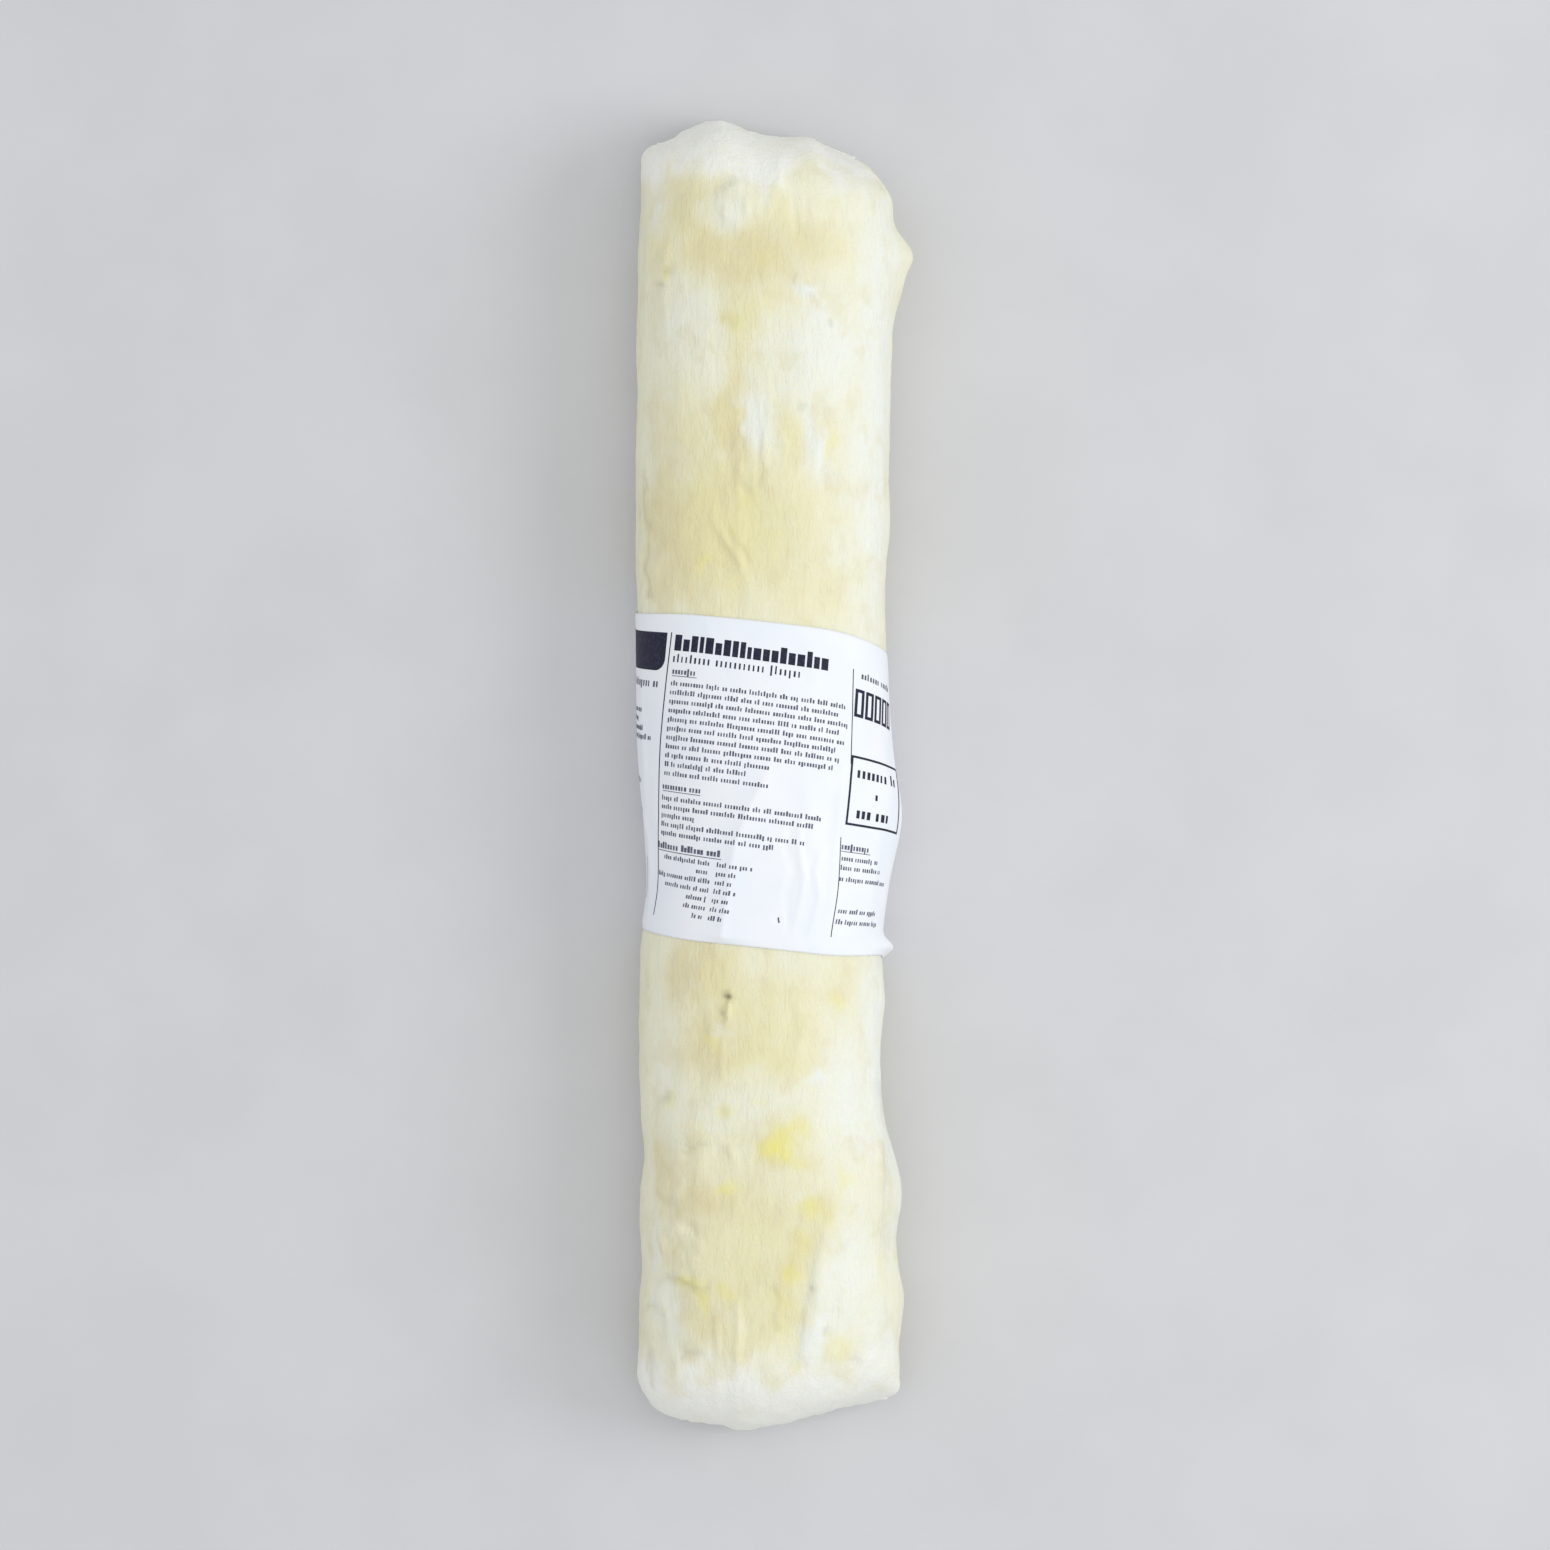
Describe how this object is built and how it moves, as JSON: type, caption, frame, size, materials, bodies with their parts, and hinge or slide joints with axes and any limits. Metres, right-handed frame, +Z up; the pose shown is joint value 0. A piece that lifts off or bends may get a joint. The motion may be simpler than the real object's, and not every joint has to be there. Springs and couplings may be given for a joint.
{
  "type": "apricot strudel",
  "caption": "Unbaked frozen fruit strudel: a long dough roll with pressed ends on a flat underside, with a paper label wrapped round its middle.",
  "frame": {"origin": "centre of the bounding box in plan, on the table that the strudel lies on", "axes": "+Z up, +Y along the roll towards the end with the ear of dough, +X towards the side that the ear is on"},
  "size_m": [0.089, 0.42, 0.0571],
  "materials": {
    "dough": "matte",
    "label_paper": "matte",
    "label_ink": "matte"
  },
  "bodies": {
    "root": {"strudel": "dough", "label": "label_paper"}
  },
  "joints": []
}
